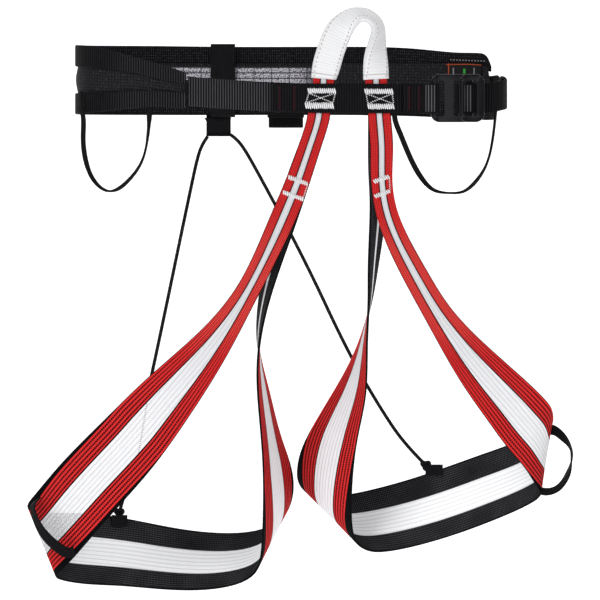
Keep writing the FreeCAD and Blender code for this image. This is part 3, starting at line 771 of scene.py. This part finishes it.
# Selvedge pairs in millimetres, as in the model: the outer selvedge comes first.
LEFT_LEG = [
    (16, LEG_TOP, 33, LEG_TOP, LAYER_FRONT_Y, None), (10, -48, 27, -49, -57.5, None),
    (1.5, -71, 18, -77, -58, None), (-12, -103, 5, -110, -58, None),
    (-33, -148, -18, -156, -58, None), (-62, -184, -42, -202, -55, None),
    (-100, -218, -70, -247, -48, None), (-129, -246, -95, -282, -40, None),
    (-158, -275, -120, -311, -30, None), (-174, -293, -143, -337, -20, None),
    (-184, -305, -160, -356, -9, None), (-188.5, -312, -167, -364, -1, None),
    (-184, -314, -164, -367, 7, None), (-165, -316, -148, -370, 15, None),
    (-123, -321, -118, -372, 28, None), (-63, -332, -65, -375, 44, 1),
    (-11, -328, -25, -365, 46, 1), (1, -317, -19, -355, 40, 1.2),
    (6, -300, -17, -342, 30, 1.3), (-3, -262, -16, -282, 3, 0.9),
    (-13, -224, -20, -226, -18, 0.6), (-20, -191, -18, -190, -34.5, 0.3),
    (-18, -154, -9, -154, -45.5, 0.05), (-10, -111, 5, -115, -52, 0),
    (1.5, -71, 18, -77, -55.8, None), (10, -48, 27, -49, -55.3, None),
    (16, LEG_TOP, 33, LEG_TOP, LAYER_BACK_Y, None),
]
RIGHT_LEG = [
    (77.5, LEG_TOP, 60.5, LEG_TOP, LAYER_FRONT_Y, None), (79, -48, 62, -48, -57.5, None),
    (78.5, -72, 63, -74, -58, None), (83, -99, 68, -104, -58, None),
    (102, -137, 85, -144, -58, None), (121, -167, 104, -179, -56.5, None),
    (151, -198, 128, -221, -51, None), (180, -224, 151, -254, -41, None),
    (190, -234, 163, -270, -34, None), (195, -241, 175, -284, -26, None),
    (196, -247, 183, -296, -16, None), (194, -251, 187, -304, -4, None),
    (181, -260, 180, -311, 7, None), (147, -274, 152, -324, 25, None),
    (105, -289, 113, -338, 39, None), (56, -303, 71, -347, 49, 1.1),
    (30, -306, 59, -345, 47, 1.25), (13, -300, 52, -338, 39, 1.45),
    (9, -285, 49, -322, 28, 1.4), (20, -255, 52, -270, 4, 1),
    (39, -223, 59, -231, -16, 0.7), (54, -193, 60, -194, -33, 0.35),
    (63, -163, 61, -163, -43.5, 0.1), (68, -136, 61, -136, -47, 0),
    (75, -90, 62, -92, -52, 0), (77, -72, 61, -74, -55.8, None),
    (77.5, -48, 60.5, -48, -55.3, None), (77.5, LEG_TOP, 60.5, LEG_TOP, LAYER_BACK_Y, None),
]


ROOT_HIGH = -7.6
ROOT_LOW = -22.0


def with_roots(edges, high, low):
    """Carries both ends of a leg loop up behind the front strap; high and low are (x1, x2)."""
    def ends(y):
        return [tuple((x, y, z) for x in pair) for pair, z in ((high, ROOT_HIGH), (low, ROOT_LOW))]
    return ends(LAYER_FRONT_Y) + edges + ends(LAYER_BACK_Y)[::-1]


def widening(route):
    """0 where the webbing is as narrow as a riser, 1 at its full width."""
    return np.clip((route.wide - NARROW) / (WIDE - NARROW), 0.0, 1.0)


LEFT = Route(with_roots(leaning(LEFT_LEG, NARROW, WIDE), high=(18.6, 35.8), low=(16.5, 33.6)))
RIGHT = Route(with_roots(leaning(RIGHT_LEG, NARROW, WIDE), high=(75.3, 58.1), low=(77.1, 60.1)))

for name, route, outer, fold_x in (("left", LEFT, 1, 0.0244), ("right", RIGHT, -1, 0.0690)):
    body = name + "_leg"
    root = "riser_root_" + name
    route.extra = widening(route)
    webbing = strap(body + "_ribbon", route, WEBBING, ("red", "black", "rim"), across=23,
                    outer=outer)
    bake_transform(webbing)
    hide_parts(body + "_webbing", root + "_front", root + "_back")

# ---------------------------------------------------------------- belt

HALF_WIDE = 152.5
HALF_DEEP = 58.5


def oval(degrees, outward):
    """A point of the belt's squared oval, seen from above."""
    cosine = math.cos(math.radians(degrees))
    sine = math.sin(math.radians(degrees))
    x = math.copysign(abs(cosine) ** (2 / 3), cosine) * (HALF_WIDE + outward)
    y = math.copysign(abs(sine) ** (2 / 3), sine) * (HALF_DEEP + outward)
    return x, y


def band_edges(stations, outward):
    """Selvedge pairs round the belt, from (degrees, top, bottom)."""
    edges = []
    for degrees, top, bottom in stations:
        x, y = oval(degrees, outward)
        edges.append(((x, y, top), (x, y, bottom)))
    return edges


UPPER_HALF = [
    (251, 4.5, -4), (244, 9.5, -1.5), (236, 14, 2.5), (226, 18.5, 5.5), (214, 22.5, 7.5),
    (202, 24.5, 9), (190, 25, 9.5), (176, 25.5, 9.5), (160, 25.5, 9.5), (140, 25.5, 9.5),
    (120, 25.5, 9.5), (100, 25, 9.5), (80, 25, 9.5), (60, 23.5, 9.5), (40, 20.5, 9), (25, 20, 8),
    (19, 18.5, 7.5), (15, 15, 7), (11, 10, 6),
]
LOWER_HALF = [
    (251, -10, -21.5), (244, -9, -21), (236, -8.5, -21), (226, -9, -22.5), (214, -10, -24),
    (202, -10, -25), (190, -10, -25.5), (176, -10, -25.5), (160, -10.5, -25.5), (140, -10.5, -25.5),
    (120, -10.5, -25.5), (100, -11, -25.5), (80, -11, -25.5), (60, -12, -26.5), (40, -13.5, -28),
    (25, -14.5, -29), (19, -15, -29.5), (15, -15, -29.5), (11, -15.5, -29.5), (4, -15.5, -29.5),
    (-3, -15.5, -27.5), (-7, -16.5, -24),
]
mesh_stations = [(degrees, upper_low + 3.0, lower_high - 3.0)
                 for (degrees, _, upper_low), (_, lower_high, _) in zip(UPPER_HALF, LOWER_HALF)]

UPPER = Route(band_edges(UPPER_HALF, 0.0), 16)
LOWER = Route(band_edges(LOWER_HALF, 0.0), 16)
MESH = Route(band_edges(mesh_stations, -2.0), 16)
# Silver yarn only at the back, fading out over 12 and 14 mm at its ends.
SILVER_LEFT = -92
SILVER_RIGHT = 24
x_mm, y_mm = MESH.middle[:, 0], MESH.middle[:, 1]
fade_in = np.clip((x_mm - SILVER_LEFT) / 12, 0, 1)
fade_out = np.clip((SILVER_RIGHT - x_mm) / 14, 0, 1)
MESH.extra = (y_mm > 0) * fade_in * fade_out
BELT_LOOKS = ("belt", "waist", "rim")
settle(strap("waist_upper", UPPER, STRAP, BELT_LOOKS, across=15), "belt", "band_upper_webbing")
settle(strap("waist_lower", LOWER, STRAP, BELT_LOOKS, across=15), "belt", "band_lower_webbing")
settle(strap("waist_mesh", MESH, 1.2, ("mesh", "mesh", "mesh"), across=15, crown=1.8),
       "belt", "band_mesh")

FRONT_STRAP = [
    (-70.6, -56.6, -9.0), (-60.0, -57.2, -10.2), (-45.0, -57.9, -11.4), (-25.0, -58.4, -12.6),
    (-5.0, FRONT_Y, -13.6), (20.0, FRONT_Y, -14.4), (50.0, FRONT_Y, -14.6),
    (80.0, FRONT_Y, -14.6), (96.0, FRONT_Y, -14.6), (104.0, -58.6, -14.6), (108.0, -58.9, -14.6),
    (111.2, -60.4, -14.6), (111.9, -62.2, -14.6), (110.9, -64.2, -14.6), (107.9, -65.4, -14.6),
    (104.6, -64.9, -14.6), (102.2, -63.0, -14.6), (99.6, -61.4, -14.6), (96.0, -60.9, -14.6),
    (86.0, -60.9, -14.6),
]
ADJUST_STRAP = [
    (142.3, 37.9, -8.0), (152.6, 22.8, -7.6), (155.4, 4.0, -7.4), (156.4, -14.0, -8.6),
    (156.8, -32.0, -11.0), (154.6, -47.0, -12.6), (147.0, -55.6, -13.8), (138.0, -58.0, -14.4),
    (130.0, FRONT_Y, -14.6), (126.4, -59.6, -14.6), (125.3, -62.0, -14.6), (126.8, -64.0, -14.6),
    (130.0, -64.6, -14.6), (134.0, -65.3, -14.6), (138.0, -64.4, -14.6), (142.0, -62.4, -14.6),
    (148.0, -60.4, -14.4), (155.0, -56.6, -13.2), (159.8, -48.0, -12.0), (161.4, -36.0, -11.2),
    (161.2, -22.0, -9.6), (160.0, -6.0, -8.4), (158.8, 10.0, -8.0),
]


def level(stations, tall=21.5):
    """Selvedge pairs of an upright strap, from its middle line."""
    return [((x, y, z + tall / 2), (x, y, z - tall / 2)) for x, y, z in stations]


STRAP_LOOKS = ("belt", "belt", "rim")
settle(strap("front_ribbon", Route(level(FRONT_STRAP), 16), STRAP, STRAP_LOOKS, outer=-1, across=15),
       "belt", "front_strap")
settle(strap("adjust_ribbon", Route(level(ADJUST_STRAP), 16), STRAP, STRAP_LOOKS, across=15),
       "belt", "adjust_strap")

label_edges = band_edges([(45.0, 12.4, 0.9), (38.0, 12.4, 0.9), (31.0, 12.4, 0.9), (24.0, 12.0, 0.9),
                          (18.0, 11.6, 0.9)], -3.2)
LABEL = Route(label_edges, 8)
LABEL.extra = LABEL.run / LABEL.run[-1]
settle(strap("size_label", LABEL, 0.5, ("label", "label", "label")), "belt", "waist_label")

# ---------------------------------------------------------------- tie-in loop

LOOP = [
    (19, 0.5, 37.5, -1, -55.2, None), (20, 10, 40, 6, -55.2, None),
    (23.5, 23, 43, 16.5, -54.8, None), (32, 41, 49, 32, -53.6, 0.1),
    (39, 46.5, 52, 38, -53, 0.11), (46.5, 50, 55.5, 42, -52.6, 0.11),
    (53.5, 50.5, 59, 42.5, -52.4, 0.11), (60.5, 49.5, 62, 41, -52.4, 0.11),
    (66, 46, 64, 38, -52.6, 0.11), (70, 41.5, 64.5, 34, -53, 0.11),
    (73, 24, 60, 21.5, -54.4, 0.11), (75, 11, 57.5, 10, -55, 0.1),
    (76, 0, 57, -1, -55.2, None),
]
loop_edges = leaning(LOOP, NARROW, WIDE)
SLEEVE = Route(loop_edges, 8)
SLEEVE.extra = np.minimum(SLEEVE.run, SLEEVE.run[-1] - SLEEVE.run) * MM

sleeve = strap("sleeve_fabric", SLEEVE, 5.6, ("sleeve", "sleeve", "sleeve"), outer=-1, across=13)
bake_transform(sleeve)
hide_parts("tie_in_sleeve")


def narrowed(edges, share):
    """The same selvedge pairs, drawn in towards their middles."""
    result = []
    for first, second in edges:
        middle = [(a + b) / 2 for a, b in zip(first, second)]
        result.append(tuple(tuple(m + (p - m) * share for m, p in zip(middle, point))
                            for point in (first, second)))
    return result


def carried_down(edges, low_z):
    """Adds a pair at each end, lower down, behind the front strap."""
    start = tuple((p[0] - 0.02 * (p[2] - low_z), p[1], low_z) for p in edges[0])
    end = tuple((p[0] + 0.02 * (p[2] - low_z), p[1], low_z) for p in edges[-1])
    return [start] + edges + [end]


loop_core = Route(carried_down(narrowed(loop_edges, NARROW / 20.5), -6.8), 8)
for name, shift, node in (("outer", 1.1, "tie_in_webbing_outer"), ("inner", -1.1, "tie_in_webbing_inner")):
    layer = strap("tie_in_core_" + name, loop_core, WEBBING, ("red", "red", "rim"), offset=shift, outer=-1)
    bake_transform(layer)
    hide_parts(node)

# ---------------------------------------------------------------- gear, haul and pull loops


def flat_route(stations, wide):
    """Selvedge pairs of a narrow tape, from (middle, direction across)."""
    edges = []
    for middle, across in stations:
        side = np.array(across, float)
        side = side / np.linalg.norm(side) * wide / 2
        edges.append((tuple(np.array(middle) - side), tuple(np.array(middle) + side)))
    return edges


GEAR_LEFT = [
    ((-149, -34, -9), (1, -1.6, 0)), ((-149, -34, -20), (1, -1.4, 0)),
    ((-147.5, -33, -28), (1, -0.6, 0)), ((-147.5, -33, -43), (1, -0.5, 0)),
    ((-145.5, -34, -60), (1, -0.5, 0.3)), ((-139, -37, -75), (0.7, 1, 0.4)),
    ((-129, -41, -82), (0.1, 1, 0.1)), ((-122, -43, -80.5), (0.3, 1, -0.5)),
    ((-114, -45.5, -74), (0.4, 1, -0.4)), ((-105, -48.5, -61.5), (0.2, 1, -0.1)),
    ((-100.5, -50, -45), (0.2, 1, 0)), ((-99, -50.6, -28), (1, -0.3, 0)),
    ((-99, -50.4, -21), (1, -0.3, 0)), ((-99, -50.2, -14), (1, -0.3, 0)),
]
GEAR_RIGHT = [
    ((80, -56.4, -14), (1, 0, 0)), ((80, -56.4, -21), (1, 0, 0.1)),
    ((80, -56.4, -28), (1, 0, 0.3)), ((84, -56, -40), (1, 0, 0.4)),
    ((92, -55.5, -59), (1, 0, 0.5)), ((100, -54.8, -73), (0.9, 0.5, 0.6)),
    ((109, -54, -81.5), (0.4, 1, 0.4)), ((120, -53, -83.5), (0.1, 1, 0)),
    ((130, -52, -82.5), (0.2, 1, -0.2)), ((138, -51.3, -76.5), (0.5, 1, -0.4)),
    ((146, -50.6, -65), (0.2, 1, -0.1)), ((151, -50.2, -48), (0.2, 1, 0)),
    ((153.5, -50, -28), (0.3, 1, 0)),
    ((154, -51, -21), (0.5, 1, 0)), ((154.5, -51.5, -12), (0.7, 1, 0)),
]
UPRIGHT = (0.0, 0.0, -1.0)
HAUL = [
    ((-11.0, 61.0, -30.0), UPRIGHT), ((-11.2, 63.6, -30.0), UPRIGHT),
    ((-9.8, 67.4, -30.0), UPRIGHT), ((-6.2, 70.0, -30.0), UPRIGHT),
    ((0.6, 70.8, -30.0), UPRIGHT), ((7.4, 70.0, -30.0), UPRIGHT),
    ((11.0, 67.4, -30.0), UPRIGHT), ((12.4, 63.6, -30.0), UPRIGHT),
    ((12.2, 61.0, -30.0), UPRIGHT),
]
LEFT_PULL = [
    ((-180.6, -15, -307.4), (0.5, -0.8, 0.4)), ((-184.5, -18, -312), (0.4, -0.9, 0.1)),
    ((-183.5, -20, -319), (0.5, -0.9, 0.1)), ((-179.5, -21.5, -328), (0.5, -0.7, 0.4)),
    ((-173.5, -22.5, -336), (0.6, -0.5, 0.6)), ((-165.5, -23, -343), (0.5, -0.3, 0.8)),
    ((-158.5, -22.5, -346.5), (0.2, -0.2, 1)), ((-154.4, -21.4, -345), (-0.2, -0.2, 1)),
]
RIGHT_PULL = [
    ((194.6, -10.8, -256.6), (0, 0.3, 1)),
    ((197, -11, -257), (0, 0.3, 1)), ((201.5, -11, -260), (0.1, 0.4, 0.9)),
    ((206, -11, -264.5), (0.1, 0.7, 0.6)), ((209.5, -11, -271), (0.1, 1, 0.2)),
    ((210, -11, -277.5), (0.1, 1, 0)), ((208, -10.5, -287), (-0.3, 1, 0.2)),
    ((204, -10, -295), (-0.3, 0.9, 0.4)), ((198, -9.6, -300.5), (-0.2, 0.8, 0.5)),
    ((190.5, -9.2, -302), (0, 0.7, 0.6)), ((186.6, -9, -301.2), (0, 0.7, 0.6)),
]


def tape(name, edges, thick, across=11):
    """A strap of plain black tape, thick in millimetres."""
    return strap(name, Route(edges), thick, ("tape", "tape", "tape"), across=across)


for name, stations, x, y, first, last in (("left", GEAR_LEFT, -0.1234, -0.0455, "hip", "front"),
                                         ("right", GEAR_RIGHT, 0.1168, -0.0534, "front", "hip")):
    gear = tape("gear_ribbon_" + name, flat_route(stations, 4.0), 1.6, across=7)
    anchor = "gear_anchor_" + name + "_"
    name + "_gear"
    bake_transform(gear)
    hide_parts("gear_loop_" + name, anchor + first, anchor + last)
settle(tape("haul_ribbon", flat_route(HAUL, 9.4), 1.8), "haul", "haul_loop")
settle(tape("left_pull_ribbon", flat_route(LEFT_PULL, 8.0), 1.3), "left_pull", "left_pull_loop")
right_pull = tape("right_pull_ribbon", flat_route(RIGHT_PULL, 8.0), 1.3)
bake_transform(right_pull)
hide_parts("right_pull_loop")

# Sewn tapes behind the band's lower edge: under the keeper, and over the roots of the haul loop.
for name, low_x, high_x, y, high_z, low_z, thick in (
        ("keeper_backing", -58.0, -40.0, 62.9, -21.0, -41.0, 0.8),
        ("haul_backing", -13.0, 14.0, 59.85, -19.0, -27.2, 0.4)):
    steps = [((x, y, high_z), (x, y, low_z)) for x in np.linspace(low_x, high_x, 4)]
    settle(tape(name, steps, thick), "belt")

for node in ("riser_keeper", "riser_keeper_tab", "haul_loop_anchor_left", "haul_loop_anchor_right",
             "left_cord_tab", "right_cord_tab"):
    clothe(node, "sewn")
for node in ("buckle_back_frame", "buckle_front_frame"):
    clothe(node, "alloy")

# ---------------------------------------------------------------- stitching

FRONT = Vector((0.0, -1.0, 0.0))


def on_front(x, z, y):
    """A point in metres on an upright face at depth y."""
    return Vector((x, y, z)) * MM


THICK = 1.25
THIN = 0.5


def stitched(name, bars, y, body, node, look="white_thread"):
    """Bars of (start, end, width, pitch, thread thickness) in millimetres, at depth y."""
    stitches = []
    for index, (start, end, wide, pitch, thick) in enumerate(bars):
        stitches += bar_tack(on_front(*start, y), on_front(*end, y), wide * MM, FRONT, pitch * MM,
                             thick * MM, seed=index + 1)
    settle(thread_mesh(name, stitches, LOOKS[look]), body, node)


STRAP_FACE = FRONT_Y - STRAP / 2 - 0.1
RISER_FACE = -58.0 - WEBBING / 2 - 0.1
SPLIT_FACE = -58.2
DOUBLED_FACE = -62.3
stitched("box_stitches_left", [
    ((16.6, -9.0), (37.2, -9.0), 3.8, 1.45, THICK), ((14.6, -19.8), (35.6, -19.8), 4.8, 1.45, THICK),
    ((17.4, -10.8), (15.4, -17.6), 1.0, 1.3, THIN), ((36.8, -10.8), (35.0, -17.6), 1.0, 1.3, THIN),
    ((17.8, -10.8), (34.4, -17.6), 0.9, 1.5, THIN), ((15.8, -17.6), (36.4, -10.8), 0.9, 1.5, THIN),
], STRAP_FACE, "belt", "tie_in_tack_left")
stitched("box_stitches_right", [
    ((58.0, -9.4), (79.0, -9.4), 3.8, 1.45, THICK), ((60.2, -20.4), (79.8, -20.4), 4.2, 1.45, THICK),
    ((59.2, -11.2), (60.6, -18.4), 1.0, 1.3, THIN), ((78.4, -11.2), (79.2, -18.4), 1.0, 1.3, THIN),
    ((59.6, -11.2), (78.8, -18.4), 0.9, 1.5, THIN), ((60.8, -18.4), (78.0, -11.2), 0.9, 1.5, THIN),
], STRAP_FACE, "belt", "tie_in_tack_right")
stitched("zigzag_front", [
    ((-3.8, -5.4), (-3.8, -23.2), 1.8, 0.9, 0.6), ((6.8, -5.4), (6.8, -23.6), 1.8, 0.9, 0.6),
], STRAP_FACE, "belt", "belt_tacks_front", "dark_thread")
stitched("zigzag_buckle", [
    ((90.8, -5.4), (90.8, -23.6), 1.8, 0.9, 0.6), ((98.0, -5.4), (98.0, -23.6), 1.8, 0.9, 0.6),
], DOUBLED_FACE, "belt", "belt_tacks_buckle", "dark_thread")
stitched("zigzag_split", [
    ((-71.6, -1.2), (-71.6, -11.8), 2.8, 0.7, 0.6),
], SPLIT_FACE, "belt", "split_tack", "sewn")
stitched("riser_stitches_left", [
    ((2.4, -71.8), (16.8, -77.0), 3.2, 1.4, THICK), ((-1.6, -82.8), (13.6, -88.2), 3.2, 1.4, THICK),
    ((16.6, -77.2), (13.4, -87.2), 1.0, 1.2, THIN),
], RISER_FACE, "left_leg", "left_riser_tack")
stitched("riser_stitches_right", [
    ((64.6, -75.4), (76.2, -71.4), 3.2, 1.4, THICK), ((65.4, -86.2), (76.6, -82.0), 3.2, 1.4, THICK),
    ((76.2, -72.6), (76.6, -82.0), 1.0, 1.2, THIN),
], RISER_FACE, "right_leg", "right_riser_tack")

# ---------------------------------------------------------------- cords

LEFT_CORD = [
    (-57.0, 60.4, -41.0), (-60.2, 60.6, -45.6), (-63.4, 60.6, -52.6), (-67.8, 60.0, -71.0),
    (-98.6, 49.0, -220.0), (-117.6, 37.6, -303.0), (-120.2, 34.4, -312.0), (-121.8, 30.9, -318.0),
]
RIGHT_CORD = [
    (-40.4, 60.4, -39.6), (-35.6, 60.6, -43.0), (-29.8, 60.8, -50.4), (-19.0, 61.0, -69.6),
    (14.4, 61.0, -131.8), (48.4, 57.0, -204.6), (78.6, 49.0, -255.0), (93.6, 43.4, -273.2),
    (103.4, 37.6, -283.0),
]


def nurbs_line(points):
    """The smooth line of a NURBS curve through the route's control points."""
    data = bpy.data.curves.new("route", "CURVE")
    data.dimensions = "3D"
    line = data.splines.new("NURBS")
    line.points.add(len(points) - 1)
    for spot, point in zip(points, line.points):
        point.co = (*(value * MM for value in spot), 1.0)
    line.order_u = 3
    line.use_endpoint_u = True
    line.resolution_u = 10
    holder = bpy.data.objects.new("route", data)
    mesh = bpy.data.meshes.new_from_object(holder)
    spots = [vertex.co.copy() for vertex in mesh.vertices]
    bpy.data.objects.remove(holder)
    bpy.data.curves.remove(data)
    bpy.data.meshes.remove(mesh)
    return spots


def even(spots, step):
    """The same line with points at an even spacing."""
    spots = np.array([list(spot) for spot in spots])
    run = np.concatenate([[0.0], np.cumsum(np.linalg.norm(np.diff(spots, axis=0), axis=1))])
    count = max(2, int(run[-1] / step))
    wanted = np.linspace(0.0, run[-1], count + 1)
    return np.stack([np.interp(wanted, run, spots[:, axis]) for axis in range(3)], axis=1), run[-1]


def tube(name, spots, radius, look, sides=12):
    """A round cord along a line of points in metres."""
    mesh = bpy.data.meshes.new(name)
    along = np.gradient(spots, axis=0)
    along = along / np.linalg.norm(along, axis=1)[:, None]
    side = np.cross(along, np.array([0.0, 1.0, 0.0]))
    side = side / np.linalg.norm(side, axis=1)[:, None]
    up = np.cross(along, side)
    run = np.concatenate([[0.0], np.cumsum(np.linalg.norm(np.diff(spots, axis=0), axis=1))])
    points = []
    for row in range(len(spots)):
        for turn in range(sides):
            angle = 2 * math.pi * turn / sides
            points.append(spots[row] + radius * (math.cos(angle) * side[row] + math.sin(angle) * up[row]))
    mesh.from_pydata([tuple(point) for point in points], [], ring_faces(len(spots), sides, turned=True))
    mesh.materials.append(LOOKS[look])
    weave = mesh.uv_layers.new(name="weave")
    for face in mesh.polygons:
        face.use_smooth = len(face.vertices) == 4
        for loop in face.loop_indices:
            row, turn = divmod(mesh.loops[loop].vertex_index, sides)
            weave.data[loop].uv = (turn / sides * 2 * math.pi * radius, run[row])
    piece = add_object(name, mesh)
    return piece


CORD_THICK = 0.0026
CORD_STEP = 0.004
for name, points, lay in (("left", LEFT_CORD, "taut"), ("right", RIGHT_CORD, "hanging")):
    spots, length = even(nurbs_line(points), CORD_STEP)
    cord = tube(name + "_riser_elastic", spots, CORD_THICK / 2, "cord")
    name + "_leg"
    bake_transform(cord)
    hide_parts("riser_cord_" + name)

# The trefoil knot that ends each cord, hooked over its tab. The tube's radius is the knot's unit.
KNOT_SIZE = 0.0011
KNOT_STEPS = 60
for name, spot in (("left", LEFT_CORD[-1]), ("right", RIGHT_CORD[-1])):
    turns = np.linspace(0.0, 2.0 * math.pi, KNOT_STEPS)
    shape = np.stack([np.sin(turns) + 2.0 * np.sin(2.0 * turns), -0.8 * np.sin(3.0 * turns),
                      np.cos(turns) - 2.0 * np.cos(2.0 * turns)], axis=1)
    knot = tube(name + "_cord_knot", shape * KNOT_SIZE + np.array(spot) * MM, KNOT_SIZE, "cord",
                sides=8)
    settle(knot, name + "_leg")
